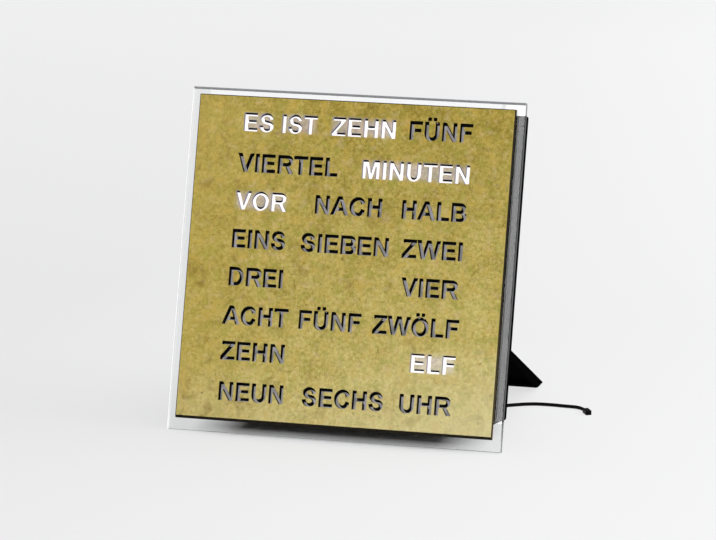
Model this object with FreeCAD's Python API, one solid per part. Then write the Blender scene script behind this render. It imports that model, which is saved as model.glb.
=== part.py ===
import FreeCAD, Part
import math
import os

V = FreeCAD.Vector

# A table clock that tells the time in lit words: a metal face plate with the words cut through it, bonded to
# a larger pane of clear glass, a black housing behind the glass, a fold-out stand and a thin low-voltage lead.
# The clock is drawn upright in its own frame: X across, Y back from the front of the face plate, Z up from
# the lower edge of the glass. seated() then leans it back onto that edge.

# Leaning and standing
lean = 16.4
stand_slope = 25.6

# Glass pane
glass_w = 230.0
glass_h = 231.0
glass_t = 4.0
glass_arris = 0.4

# Face plate
plate_w = 218.0
plate_h = 218.0
plate_t = 3.0
plate_up = 8.0

# Lettering field: rows of words, measured from the left and the top edge of the plate
letter_h = 12.4
first_row = 11.4
row_pitch = 25.86
rows = [
    [(32, 21), (59, 25), (93, 46), (147, 43)],
    [(30, 70), (116, 75)],
    [(30, 37), (86, 47), (145, 45)],
    [(30, 38), (78, 61), (148, 42)],
    [(30, 38), (149, 40)],
    [(28, 46), (80, 44), (131, 60)],
    [(28, 46), (158, 32)],
    [(29, 46), (87, 56), (153, 36)],
]

# Housing: its top and underside rise towards the back, which lifts its lower rear edge clear of the table
housing_w = 208.5
housing_h = 206.4
housing_up = 15.6
housing_d = 52.5
housing_wall = 2.4
rim_lip = 0.8
rim_t = 2.0
top_rake = 6.0
under_rake = 8.0
edge_r = 1.6
tape_t = 0.5
tape_w = 2.6
tape_in = 0.4

# Optical stack
mask_t = 0.3
diffuser_t = 1.5
grid_d = 12.0
grid_clear = 0.4
chamber_side = 1.4
chamber_over = 3.2
chamber_under = 0.6
chamber_draft = 5.0
board_t = 1.6
led_board_in = 3.0
led_size = 3.5
led_t = 1.4
led_step = 22.0

# Back cover
cover_t = 2.0
cover_clear = 0.3
cover_ledge = 1.8
ledge_t = 3.0
screw_r = 1.5
screw_head_r = 2.8
screw_head_t = 1.4
screw_len = 9.0
screw_clear = 0.1
boss_r = 4.0
boss_len = 14.0
boss_web_t = 2.0
screw_in = 7.5
vent_w = 2.0
vent_h = 14.0
vent_pitch = 6.0
vents = 9
vent_up = 206.0

# Controller board on the back cover
board_w = 150.0
board_h = 36.0
board_x = -5.0
board_z = 38.0
board_gap = 10.0
standoff_r = 2.6
standoff_in = 4.0
board_screw_r = 1.2
board_screw_head_r = 2.2
board_screw_head_t = 1.0
chip_along = 12.0
chip_size = 10.0
chip_t = 1.4
driver_along = 34.0
driver_pitch = 16.0
driver_w = 6.0
driver_len = 16.0
driver_t = 1.6
crystal_r = 1.6
crystal_len = 6.2
crystal_drop = 10.0
cell_along = -40.0
cell_r = 10.0
cell_t = 3.2
cell_clear = 0.3
cell_holder_w = 24.0
cell_holder_t = 5.0
cell_floor = 0.8
link_along = -14.0
link_w = 24.0
link_h = 5.0

# Set buttons
button_z = 46.0
button_xs = {"button_hour": -62.0, "button_minute": -48.0, "button_dim": -34.0}
button_r = 3.0
button_proud = 1.4
button_travel = 0.8
button_clear = 0.15
button_flange_r = 3.8
button_flange_t = 0.8
button_crown_r = 0.5
button_stem_r = 1.6
switch_size = 6.0
switch_t = 3.4
plunger_r = 1.7
plunger_t = 0.8

# Stand
flap_w = 198.0
flap_t = 6.7
flap_skin = 2.2
flap_rim = 3.0
flap_ribs = 5
rib_t = 1.6
foot_wall = 7.0
hinge_up = 70.0
hinge_in = 37.0
pin_r = 1.5
pin_clear = 0.06
ear_t = 2.0
ear_gap = 20.0
ear_clear = 0.4
bracket_t = 1.6
bracket_len = 17.0
barrel_clear = 0.45
slot_clear = 1.2
bracket_screw_r = 1.2
bracket_screw_head_r = 2.3
bracket_screw_head_t = 1.2
bracket_over = 1.0
bracket_screw_in = 4.0
pad_t = 0.8
pad_w = 30.0
pad_in = 1.5
bumper_r = 4.0
bumper_x = 80.0
bumper_along = 115.0
bumper_clear = 0.1

# Lead and its fittings
lead_d = 2.4
jack_x = 52.0
jack_z = 42.5
jack_w = 9.0
jack_h = 11.0
jack_in = 0.4
jack_bore = 2.75
jack_bore_d = 9.0
pin_stem_r = 1.0
pin_stem_short = 1.5
plug_r = 4.6
plug_edge_r = 0.8
plug_len = 15.0
plug_barrel_r = 2.7
plug_barrel_short = 0.5
plug_barrel_clear = 0.15
plug_hole_clear = 0.6
jack_collar_clear = 0.2
relief_len = 20.0
relief_root_r = 3.0
relief_tip_r = 1.7
tie_t = 0.6
tie_w = 6.0
tie_clear = 0.15
tie_angle = 171.0
connector_w = 4.0
connector_h = 3.2
connector_len = 8.0
connector_edge_r = 0.6

# Put-away coil: four layers, each wound between an inner and an outer radius
coil_x = 18.0
coil_y = 122.0
coil_pitch = 3.3
coil_inner_r = 8.8
coil_turns = 3.25
coil_layers = 4
coil_start_angle = -90.0

lean_rad = math.radians(lean)
slope_rad = math.radians(stand_slope)
glass_back = plate_t + glass_t
housing_front = glass_back + tape_t
housing_back = housing_front + housing_d
cover_front = housing_back - cover_t
grid_front = glass_back + mask_t + diffuser_t
grid_back = grid_front + grid_d
controller_back = cover_front - board_gap
controller_front = controller_back - board_t
pin_y = housing_back + bracket_t + flap_t / 2 + barrel_clear

solids = {}


def keep(name, shape):
    """Stores a node's shape, by its name."""
    solids[name] = shape.removeSplitter()


def box(x0, x1, y0, y1, z0, z1):
    return Part.makeBox(x1 - x0, y1 - y0, z1 - z0, V(x0, y0, z0))


def rod(radius, length, x, y, z, axis=V(0, 1, 0)):
    return Part.makeCylinder(radius, length, V(x, y, z), axis)


def joined(shapes):
    first, *others = shapes
    return first.multiFuse(others) if others else first


def profile(points, x0, x1):
    """A solid with its side outline in the YZ plane, from x0 to x1."""
    face = Part.Face(Part.makePolygon([V(x0, y, z) for y, z in points + points[:1]]))
    return face.extrude(V(x1 - x0, 0, 0))


def edges_along(shape, axis):
    """Straight edges of a shape that run along an axis."""
    found = []
    for edge in shape.Edges:
        if isinstance(edge.Curve, Part.Line):
            run = edge.tangentAt(edge.FirstParameter)
            if abs(abs(run.dot(axis)) - 1) < 1e-6:
                found.append(edge)
    return found


# The lean, and the height that puts the lower rear edge of the glass on the table
lift = (glass_back - glass_arris) * math.sin(lean_rad)
pin_table_y = hinge_up * math.sin(lean_rad) + pin_y * math.cos(lean_rad)
pin_table_z = hinge_up * math.cos(lean_rad) - pin_y * math.sin(lean_rad) + lift
foot_rise = pin_table_z + flap_t / 2 / math.cos(slope_rad) - pad_t
foot_y = pin_table_y + foot_rise / math.tan(slope_rad)
front_y = plate_up * math.sin(lean_rad)
shift = -(front_y + foot_y) / 2


def seated(shape):
    """Leans a shape of the clock back and stands it on the table, origin under the middle of the object."""
    placed = shape.copy()
    placed.rotate(V(0, 0, 0), V(1, 0, 0), -lean)
    placed.translate(V(0, shift, lift))
    return placed


def table_point(x, y, z):
    """Where a point of the upright clock lies once the clock is seated."""
    return V(
        x,
        y * math.cos(lean_rad) + z * math.sin(lean_rad) + shift,
        z * math.cos(lean_rad) - y * math.sin(lean_rad) + lift,
    )


# Face plate and glass
plate_left = -plate_w / 2
plate_top = plate_up + plate_h
plate = box(plate_left, -plate_left, 0, plate_t, plate_up, plate_top)
keep("front_plate", seated(plate))

glass = box(-glass_w / 2, glass_w / 2, plate_t, glass_back, 0, glass_h)
glass = glass.makeChamfer(glass_arris, glass.Edges)
keep("glass_panel", seated(glass))


# Housing
def housing_low(y, inset):
    rake = math.radians(under_rake)
    return housing_up + (y - housing_front) * math.tan(rake) + inset / math.cos(rake)


def housing_high(y, inset):
    rake = math.radians(top_rake)
    return housing_up + housing_h + (y - housing_front) * math.tan(rake) - inset / math.cos(rake)


def inside_housing(y0, y1, inset):
    """The space between two depths that lies a given inset within the housing's outer skin."""
    outline = [
        (y0, housing_low(y0, inset)),
        (y1, housing_low(y1, inset)),
        (y1, housing_high(y1, inset)),
        (y0, housing_high(y0, inset)),
    ]
    half = housing_w / 2 - inset
    return profile(outline, -half, half)


ledge_front = cover_front - ledge_t
shell = inside_housing(housing_front, housing_back, 0)
front_edges = [e for e in shell.Edges if abs(e.BoundBox.YMax - housing_front) < 1e-6]
round_edges = [e for e in shell.Edges if not any(e.isSame(f) for f in front_edges)]
shell = shell.makeFillet(edge_r, round_edges)
window_in = housing_wall + rim_lip
cavity = inside_housing(housing_front + rim_t, ledge_front, housing_wall)
ledge_gap = inside_housing(ledge_front, cover_front, housing_wall + cover_ledge)
cover_seat = inside_housing(cover_front, housing_back + 1, housing_wall)
window_half = housing_w / 2 - window_in
window_low = housing_low(housing_front, window_in)
window_high = housing_high(housing_front, window_in)
window = box(-window_half, window_half, housing_front - 1, housing_front + rim_t + 1, window_low, window_high)
cover_low = housing_low(housing_back, housing_wall + cover_clear)
cover_high = housing_high(cover_front, housing_wall + cover_clear)
cover_half = housing_w / 2 - housing_wall - cover_clear

screw_xs = [-cover_half + screw_in, 0, cover_half - screw_in]
screw_zs = [cover_low + screw_in, cover_high - screw_in]
screw_spots = [(x, z) for x in screw_xs for z in screw_zs]
shell = shell.cut(joined([cavity, ledge_gap, cover_seat, window]))
bosses = []
for x, z in screw_spots:
    post = rod(boss_r, boss_len, x, cover_front - boss_len, z)
    toward = -1 if z < housing_up + housing_h / 2 else 1
    wall_z = z + toward * (screw_in + cover_clear + housing_wall / 2)
    half_web = boss_web_t / 2
    web = box(x - half_web, x + half_web, cover_front - boss_len, cover_front, min(z, wall_z), max(z, wall_z))
    bosses.append(post.fuse(web))
skin = inside_housing(housing_front, housing_back, housing_wall / 2)
shell = shell.fuse(joined(bosses).common(skin))
for x, z in screw_spots:
    shell = shell.cut(rod(screw_r, screw_len + 1, x, cover_front - screw_len - 1, z))
keep("housing", seated(shell))

tape_low = housing_low(housing_front, tape_in)
tape_high = housing_high(housing_front, tape_in)
tape_half = housing_w / 2 - tape_in - tape_w
tape_outer = box(-tape_half - tape_w, tape_half + tape_w, glass_back, housing_front, tape_low, tape_high)
hole_low = tape_low + tape_w
hole_high = tape_high - tape_w
tape_hole = box(-tape_half, tape_half, glass_back - 1, housing_front + 1, hole_low, hole_high)
keep("glass_tape", seated(tape_outer.cut(tape_hole)))

# Light grid: one tapered chamber for each word, narrower at the light source
grid_half = window_half - grid_clear
grid_low = housing_low(grid_back, housing_wall + grid_clear)
grid_high = window_high - grid_clear
sheet_low = max(hole_low + grid_clear, grid_low)
sheet_half = tape_half - grid_clear
sheet_high = min(hole_high - grid_clear, grid_high)
light_mask = box(-sheet_half, sheet_half, glass_back, glass_back + mask_t, sheet_low, sheet_high)
keep("light_mask", seated(light_mask))
diffuser = box(-sheet_half, sheet_half, glass_back + mask_t, grid_front, sheet_low, sheet_high)
keep("diffuser_sheet", seated(diffuser))


def rectangle_at(y, x0, x1, z0, z1):
    return Part.makePolygon([V(x0, y, z0), V(x1, y, z0), V(x1, y, z1), V(x0, y, z1), V(x0, y, z0)])


def chamber(left, width, row):
    """The tapered pocket behind one word."""
    x0 = plate_left + left - chamber_side
    x1 = plate_left + left + width + chamber_side
    cap_line = plate_top - first_row - row * row_pitch
    z0 = cap_line - letter_h - chamber_under
    z1 = cap_line + chamber_over
    draw = grid_d * math.tan(math.radians(chamber_draft))
    front = rectangle_at(grid_front - 0.01, x0, x1, z0, z1)
    rear = rectangle_at(grid_back + 0.01, x0 + draw, x1 - draw, z0 + draw, z1 - draw)
    return Part.makeLoft([front, rear], True, True)


grid = box(-grid_half, grid_half, grid_front, grid_back, sheet_low, grid_high)
led_board_low = housing_low(grid_back + board_t, led_board_in)
led_board = box(-grid_half, grid_half, grid_back, grid_back + board_t, led_board_low, grid_high)
leds = []
for row, words in enumerate(rows):
    for left, width in words:
        grid = grid.cut(chamber(left, width, row))
        count = max(1, round(width / led_step))
        for n in range(count):
            x = plate_left + left + width * (n + 0.5) / count
            z = plate_top - first_row - row * row_pitch - letter_h / 2 + chamber_over / 2
            half = led_size / 2
            leds.append(box(x - half, x + half, grid_back - led_t, grid_back, z - half, z + half))
keep("light_grid", seated(grid))
keep("led_board", seated(led_board))
keep("leds", seated(Part.makeCompound(leds)))

# Back cover, with its vents and its openings for the buttons and the jack
cover = box(-cover_half, cover_half, cover_front, housing_back, cover_low, cover_high)
for n in range(vents):
    x = (n - (vents - 1) / 2) * vent_pitch
    left = x - vent_w / 2
    cover = cover.cut(box(left, left + vent_w, cover_front - 1, housing_back + 1, vent_up, vent_up + vent_h))
for x in button_xs.values():
    cover = cover.cut(rod(button_r + button_clear, cover_t + 2, x, cover_front - 1, button_z))
cover = cover.cut(rod(plug_r + plug_hole_clear, cover_t + 2, jack_x, cover_front - 1, jack_z))
for x, z in screw_spots:
    cover = cover.cut(rod(screw_r + screw_clear, cover_t + 2, x, cover_front - 1, z))
    cover = cover.cut(rod(screw_head_r + screw_clear, screw_head_t, x, housing_back - screw_head_t, z))
keep("back_cover", seated(cover))

screws = []
for x, z in screw_spots:
    head = rod(screw_head_r, screw_head_t, x, housing_back - screw_head_t, z)
    screws.append(head.fuse(rod(screw_r, screw_len, x, housing_back - screw_head_t - screw_len, z)))
keep("cover_screws", seated(Part.makeCompound(screws)))

# Controller board and what it carries
board_left = board_x - board_w / 2
board_right = board_x + board_w / 2
board_top = board_z + board_h
controller = box(board_left, board_right, controller_front, controller_back, board_z, board_top)
corner_xs = [board_left + standoff_in, board_right - standoff_in]
corner_zs = [board_z + standoff_in, board_top - standoff_in]
standoffs = []
board_screws = []
for x in corner_xs:
    for z in corner_zs:
        controller = controller.cut(rod(board_screw_r + screw_clear, board_t + 2, x, controller_front - 1, z))
        post = rod(standoff_r, board_gap, x, controller_back, z)
        standoffs.append(post.cut(rod(board_screw_r, board_gap - 3, x, controller_back, z)))
        head = rod(board_screw_head_r, board_screw_head_t, x, controller_front - board_screw_head_t, z)
        stem = rod(board_screw_r, board_t + board_gap - 4, x, controller_front, z)
        board_screws.append(head.fuse(stem))
keep("controller_board", seated(controller))
keep("board_standoffs", seated(Part.makeCompound(standoffs)))
keep("board_screws", seated(Part.makeCompound(board_screws)))


def on_board(x, z, width, height, thick):
    """A component on the front of the controller board."""
    left = x - width / 2
    low = z - height / 2
    return box(left, left + width, controller_front - thick, controller_front, low, low + height)


board_mid = board_z + board_h / 2
chip_x = board_x + chip_along
keep("controller_chip", seated(on_board(chip_x, board_mid, chip_size, chip_size, chip_t)))
drivers = []
for n in range(2):
    driver_x = board_x + driver_along + driver_pitch * n
    drivers.append(on_board(driver_x, board_mid, driver_w, driver_len, driver_t))
keep("driver_chips", seated(Part.makeCompound(drivers)))
crystal_x = chip_x + chip_size / 2
crystal_z = board_mid - crystal_drop
crystal = rod(crystal_r, crystal_len, crystal_x, controller_front - crystal_r, crystal_z, V(1, 0, 0))
keep("clock_crystal", seated(crystal))
cell_x = board_x + cell_along
holder = on_board(cell_x, board_mid, cell_holder_w, cell_holder_w, cell_holder_t)
holder_hollow = cell_holder_t - cell_floor
holder_front = controller_front - cell_holder_t
holder = holder.cut(rod(cell_r + cell_clear, holder_hollow, cell_x, holder_front, board_mid))
keep("cell_holder", seated(holder))
keep("coin_cell", seated(rod(cell_r, cell_t, cell_x, controller_front - cell_floor - cell_t, board_mid)))
link_len = controller_front - grid_back - board_t
keep("board_link", seated(on_board(board_x + link_along, board_mid, link_w, link_h, link_len)))

# Jack: a block behind the cover with a stepped bore, and its centre pin
jack_back = housing_back - jack_in
jack_left = jack_x - jack_w / 2
jack_low = jack_z - jack_h / 2
jack = box(jack_left, jack_left + jack_w, controller_back, cover_front, jack_low, jack_low + jack_h)
collar_r = plug_r + plug_hole_clear - jack_collar_clear
jack = jack.fuse(rod(collar_r, jack_back - cover_front, jack_x, cover_front, jack_z))
jack = jack.cut(rod(jack_bore, jack_bore_d, jack_x, jack_back - jack_bore_d, jack_z))
jack = jack.fuse(rod(pin_stem_r, jack_bore_d - pin_stem_short, jack_x, jack_back - jack_bore_d, jack_z))
keep("dc_jack", seated(jack))

# Set buttons, their switches, and their travel
switches = []
for name, x in button_xs.items():
    cap_front = cover_front - button_flange_t
    cap = rod(button_r, cover_t + button_proud, x, cover_front, button_z)
    crown = [e for e in cap.Edges if abs(e.BoundBox.YMin - housing_back - button_proud) < 1e-6]
    cap = cap.makeFillet(button_crown_r, crown)
    cap = cap.fuse(rod(button_flange_r, button_flange_t, x, cap_front, button_z))
    stem_len = cap_front - controller_back - switch_t - plunger_t - button_travel
    cap = cap.fuse(rod(button_stem_r, stem_len, x, cap_front - stem_len, button_z))
    keep(name, seated(cap))
    half = switch_size / 2
    switch_back = controller_back + switch_t
    body = box(x - half, x + half, controller_back, switch_back, button_z - half, button_z + half)
    switches.append(body.fuse(rod(plunger_r, plunger_t, x, switch_back, button_z)))
keep("tact_switches", seated(Part.makeCompound(switches)))

# Stand: a ribbed moulded flap whose end is bevelled to lie flat on the table
flap_dir = (math.cos(slope_rad), -math.sin(slope_rad))
flap_up = (math.sin(slope_rad), math.cos(slope_rad))
pin_here = (pin_table_y + shift, pin_table_z)


def flap_point(along, above):
    """A point of the stand, from how far it lies along the flap and above its middle plane."""
    return (
        pin_here[0] + along * flap_dir[0] + above * flap_up[0],
        pin_here[1] + along * flap_dir[1] + above * flap_up[1],
    )


def along_to_height(above, height):
    """How far along the flap a line at one level of its thickness comes down to a height."""
    return (pin_here[1] + above * flap_up[1] - height) / math.sin(slope_rad)


def slab(above_low, above_high, start, x0, x1, foot_height):
    outline = [
        flap_point(start, above_low),
        flap_point(along_to_height(above_low, foot_height), above_low),
        flap_point(along_to_height(above_high, foot_height), above_high),
        flap_point(start, above_high),
    ]
    return profile(outline, x0, x1)


half_t = flap_t / 2
flap_half = flap_w / 2
hinge_x = flap_half - hinge_in
flap = slab(-half_t, half_t, 0, -flap_half, flap_half, pad_t)
flap = flap.fuse(rod(half_t, flap_w, -flap_half, *pin_here, V(1, 0, 0)))

# Bays between the ribs, open below
slot_r = half_t + barrel_clear + slot_clear
bay_start = slot_r + flap_rim
bay_over = half_t - flap_skin
bay_under = -half_t - 1
bay_outline = [
    flap_point(bay_start, bay_under),
    flap_point(along_to_height(bay_under, pad_t) - foot_wall, bay_under),
    flap_point(along_to_height(bay_over, pad_t) - foot_wall, bay_over),
    flap_point(bay_start, bay_over),
]
bay_w = (flap_w - 2 * flap_rim - flap_ribs * rib_t) / (flap_ribs + 1)
for n in range(flap_ribs + 1):
    x0 = -flap_half + flap_rim + n * (bay_w + rib_t)
    flap = flap.cut(profile(bay_outline, x0, x0 + bay_w))

# Slots for the bracket ears and bores for the pins
ear_outer = ear_gap / 2 + ear_t
slot_half = ear_t / 2 + ear_clear
bore_half = ear_outer + ear_clear
for side in (-1, 1):
    for face in (-1, 1):
        middle = side * hinge_x + face * (ear_gap / 2 + ear_t / 2)
        flap = flap.cut(rod(slot_r, 2 * slot_half, middle - slot_half, *pin_here, V(1, 0, 0)))
    flap = flap.cut(rod(pin_r + pin_clear, 2 * bore_half, side * hinge_x - bore_half, *pin_here, V(1, 0, 0)))
keep("stand_flap", flap)

foot_low = along_to_height(-half_t, pad_t)
foot_front = flap_point(foot_low, -half_t)[0]
foot_back = foot_y + shift
pads = []
for side in (-1, 1):
    x = side * (flap_half - pad_in - pad_w / 2)
    pads.append(box(x - pad_w / 2, x + pad_w / 2, foot_front + pad_in, foot_back - pad_in, 0, pad_t))
keep("foot_pads", Part.makeCompound(pads))

# Hinge brackets: a base on the cover and two ears that carry the pin
bracket_screws = []
for name, side in (("hinge_bracket_left", -1), ("hinge_bracket_right", 1)):
    x = side * hinge_x
    base_top = hinge_up + half_t + bracket_over
    base_low = base_top - bracket_len
    base = box(x - ear_outer, x + ear_outer, housing_back, housing_back + bracket_t, base_low, base_top)
    bracket = base
    for face in (-1, 1):
        middle = x + face * (ear_gap / 2 + ear_t / 2)
        ear = rod(half_t, ear_t, middle - ear_t / 2, pin_y, hinge_up, V(1, 0, 0))
        left = middle - ear_t / 2
        web = box(left, left + ear_t, housing_back, pin_y, hinge_up - half_t, hinge_up + half_t)
        bracket = bracket.fuse(ear.fuse(web))
    bracket = bracket.cut(rod(pin_r, 2 * ear_outer + 2, x - ear_outer - 1, pin_y, hinge_up, V(1, 0, 0)))
    for face in (-1, 1):
        sx = x + face * ear_gap / 4
        sz = base_low + bracket_screw_in
        bracket = bracket.cut(rod(bracket_screw_r + screw_clear, bracket_t + 2, sx, housing_back - 1, sz))
        head = rod(bracket_screw_head_r, bracket_screw_head_t, sx, housing_back + bracket_t, sz)
        stem = rod(bracket_screw_r, bracket_t, sx, housing_back, sz)
        bracket_screws.append(head.fuse(stem))
    keep(name, seated(bracket))
keep("bracket_screws", seated(Part.makeCompound(bracket_screws)))
pins = []
for side in (-1, 1):
    pins.append(rod(pin_r, 2 * ear_outer, side * hinge_x - ear_outer, pin_y, hinge_up, V(1, 0, 0)))
keep("hinge_pins", seated(Part.makeCompound(pins)))

# Bumpers that the folded flap rests against
bumper_t = bracket_t + barrel_clear - bumper_clear
bumper_z = hinge_up + bumper_along
bumpers = [rod(bumper_r, bumper_t, side * bumper_x, housing_back, bumper_z) for side in (-1, 1)]
keep("cover_bumpers", seated(Part.makeCompound(bumpers)))

# Plug in the jack, with its strain relief; the lead leaves along the depth of the clock
plug_start = jack_back
barrel_len = jack_bore_d - plug_barrel_short
barrel = rod(plug_barrel_r, barrel_len, jack_x, plug_start - barrel_len, jack_z)
barrel_bore = pin_stem_r + plug_barrel_clear
barrel = barrel.cut(rod(barrel_bore, jack_bore_d, jack_x, plug_start - jack_bore_d, jack_z))
plug = rod(plug_r, plug_len, jack_x, plug_start, jack_z)
plug = plug.makeFillet(plug_edge_r, [e for e in plug.Edges if e.BoundBox.YMin > plug_start + plug_len - 1e-6])
keep("dc_plug", seated(plug.fuse(barrel)))
relief_start = plug_start + plug_len
relief = Part.makeCone(relief_root_r, relief_tip_r, relief_len, V(jack_x, relief_start, jack_z), V(0, 1, 0))
keep("plug_relief", seated(relief))


# Lead: straight runs joined by tangent arcs
lead_section = math.pi * lead_d**2 / 4


def tube_along(points, name):
    """A round tube on straight runs and tangent arcs; prints its radii and compares its volume."""
    edges = []
    radii = []
    here = points[0]
    length = 0.0
    for before, at, after in zip(points, points[1:], points[2:]):
        run_in = at - before
        run_out = after - at
        turn = run_in.getAngle(run_out)
        radius = 0.45 * min(run_in.Length, run_out.Length) / math.tan(turn / 2)
        setback = radius * math.tan(turn / 2)
        start = at - run_in.normalize() * setback
        end = at + run_out.normalize() * setback
        chord_mid = (start + end) * 0.5
        centre = at + (chord_mid - at).normalize() * (radius / math.cos(turn / 2))
        middle = centre + (at - centre).normalize() * radius
        edges.append(Part.LineSegment(here, start).toShape())
        edges.append(Part.Arc(start, middle, end).toShape())
        length += (start - here).Length + radius * turn
        radii.append(round(radius, 1))
        here = end
    edges.append(Part.LineSegment(here, points[-1]).toShape())
    length += (points[-1] - here).Length
    path = Part.Wire(edges)
    ring = Part.Wire(Part.makeCircle(lead_d / 2, points[0], points[1] - points[0]))
    tube = path.makePipeShell([ring], True, False)
    ratio = tube.Volume / lead_section / length
    print(name, "length", round(length, 1), "radii", radii, "volume ratio", round(ratio, 4))
    return tube, length


def biarc(p0, t0, p1, t1):
    """Two tangent arcs from one point and direction to another."""
    gap = p1 - p0
    both = t0 + t1
    a = 2 * (1 - t0.dot(t1))
    b = gap.dot(both)
    reach = (-b + math.sqrt(b * b + a * gap.dot(gap))) / a if a > 1e-9 else gap.dot(gap) / (4 * gap.dot(t1))
    q0 = p0 + t0 * reach
    q1 = p1 - t1 * reach
    joint = (q0 + q1) * 0.5
    arcs = []
    for start, corner, end in ((p0, q0, joint), (joint, q1, p1)):
        leg_in = (corner - start).normalize()
        leg_out = (end - corner).normalize()
        turn = leg_in.getAngle(leg_out)
        radius = reach / math.tan(turn / 2)
        inward = (start + end) * 0.5 - corner
        centre = corner + inward.normalize() * (radius / math.cos(turn / 2))
        middle = centre + (corner - centre).normalize() * radius
        arcs.append(Part.Arc(start, middle, end).toShape())
    return arcs


coil_floor = tie_t + tie_clear + lead_d / 2
coil_swing = coil_turns * coil_pitch
coil_outer_r = coil_inner_r + coil_swing
coil_centre = V(coil_x, coil_y + shift, 0)


def coil_at(turns):
    """Centreline of the coil, turns counted from its lower outer end: layers joined by climbing half turns."""
    layer_len = coil_turns + 0.5
    layer = min(int(turns / layer_len), coil_layers - 1)
    along = turns - layer * layer_len
    climb = 0.0
    if along > coil_turns:
        climb = (along - coil_turns) / 0.5
        along = coil_turns
    inward = layer % 2 == 0
    radius = coil_outer_r - along * coil_pitch if inward else coil_inner_r + along * coil_pitch
    ease = 0.5 - 0.5 * math.cos(math.pi * climb)
    height = coil_floor + (layer + ease) * coil_pitch
    angle = math.radians(coil_start_angle - 360 * turns)
    return coil_centre + V(radius * math.cos(angle), radius * math.sin(angle), height)


coil_total = coil_layers * coil_turns + (coil_layers - 1) * 0.5


def coil_heading(turns):
    step = 1e-4
    return (coil_at(min(turns + step, coil_total)) - coil_at(max(turns - step, 0))).normalize()


coil_steps = round(coil_total * 4)
marks = [coil_total * n / coil_steps for n in range(coil_steps + 1)]
coil_edges = []
coil_in = coil_at(0) - coil_heading(0) * lead_d
coil_out = coil_at(coil_total) + coil_heading(coil_total) * lead_d
coil_edges.append(Part.LineSegment(coil_in, coil_at(0)).toShape())
for a, b in zip(marks, marks[1:]):
    coil_edges += biarc(coil_at(a), coil_heading(a), coil_at(b), coil_heading(b))
coil_edges.append(Part.LineSegment(coil_at(coil_total), coil_out).toShape())
coil_path = Part.Wire(coil_edges)
coil_ring = Part.Wire(Part.makeCircle(lead_d / 2, coil_in, coil_heading(0)))
coil_tube = coil_path.makePipeShell([coil_ring], True, False)
coil_length = coil_path.Length
samples = []
walked = 0.0
for edge in coil_path.OrderedEdges:
    count = max(2, round(edge.Length / 1.0))
    for n in range(count):
        u = edge.FirstParameter + (edge.LastParameter - edge.FirstParameter) * (n + 0.5) / count
        samples.append((walked + edge.Length * (n + 0.5) / count, edge.valueAt(u)))
    walked += edge.Length
gap = coil_length
for i, (s, p) in enumerate(samples):
    for t, q in samples[i + 1 :]:
        if t - s > 8 * lead_d:
            gap = min(gap, (p - q).Length - lead_d)
print("lead_coil length", round(coil_length, 1), "least gap to itself", round(gap, 2))
coil_ratio = coil_tube.Volume / lead_section / coil_length
print("lead_coil volume ratio", round(coil_ratio, 4), "valid", coil_tube.isValid())
keep("lead_coil", coil_tube)

# Strap round one side of the coil
strap_in = math.sqrt((coil_inner_r - lead_d / 2) ** 2 - (tie_w / 2) ** 2) - 2 * tie_clear
strap_out = coil_outer_r + lead_d / 2 + 2 * tie_clear
strap_top = coil_floor + (coil_layers - 1) * coil_pitch + lead_d / 2 + tie_clear
strap = box(strap_in - tie_t, strap_out + tie_t, -tie_w / 2, tie_w / 2, 0, strap_top + tie_t)
strap = strap.cut(box(strap_in, strap_out, -tie_w, tie_w, tie_t, strap_top))
strap.rotate(V(0, 0, 0), V(0, 0, 1), tie_angle)
strap.translate(coil_centre)
keep("lead_tie", strap)

# Run from the strain relief down to the coil
relief_end = table_point(jack_x, relief_start + relief_len, jack_z)
lead_way = table_point(jack_x, relief_start + relief_len + 1, jack_z) - relief_end
run_points = [
    relief_end,
    relief_end + lead_way * 12,
    V(51, 128 + shift, 9.0),
    V(44, 140 + shift, 10.5),
    coil_out + coil_heading(coil_total) * 12,
    coil_out,
]
run_tube, run_length = tube_along(run_points, "lead_run")
keep("lead_run", run_tube)

# Tail from the coil out past the side of the clock to its connector
tail_z = lead_d / 2
tail_points = [
    coil_in,
    coil_in - coil_heading(0) * 16,
    V(54, 104 + shift, tail_z),
    V(72, 110.5 + shift, tail_z),
    V(91, 124 + shift, tail_z),
    V(105, 132.5 + shift, tail_z),
    V(118, 133.5 + shift, tail_z),
    V(129, 132.2 + shift, tail_z),
    V(137.2, 132.0 + shift, tail_z),
    V(142.4, 128.2 + shift, tail_z),
    V(144.8, 124.0 + shift, tail_z),
]
tail_tube, tail_length = tube_along(tail_points, "lead_tail")
keep("lead_tail", tail_tube)

tail_end = tail_points[-1]
tail_dir = (tail_points[-1] - tail_points[-2]).normalize()
plug_box = box(-connector_w / 2, connector_w / 2, 0, connector_len, 0, connector_h)
plug_box = plug_box.makeFillet(connector_edge_r, edges_along(plug_box, V(0, 1, 0)))
plug_box.rotate(V(0, 0, 0), V(0, 0, 1), math.degrees(math.atan2(tail_dir.y, tail_dir.x)) - 90)
plug_box.translate(V(tail_end.x, tail_end.y, 0))
keep("end_connector", plug_box)
print("lead length in all", round(run_length + coil_length + tail_length, 1))

os.makedirs("parts", exist_ok=True)
for name, shape in solids.items():
    shape.exportStep(f"parts/{name}.step")
    around = shape.BoundBox
    low = [round(v, 1) for v in (around.XMin, around.YMin, around.ZMin)]
    high = [round(v, 1) for v in (around.XMax, around.YMax, around.ZMax)]
    print(f"{name:20s} solids {len(shape.Solids):2d} valid {shape.isValid()}", low, high)
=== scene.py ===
import math

import bmesh
import bpy
from mathutils import Matrix, Vector


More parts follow.
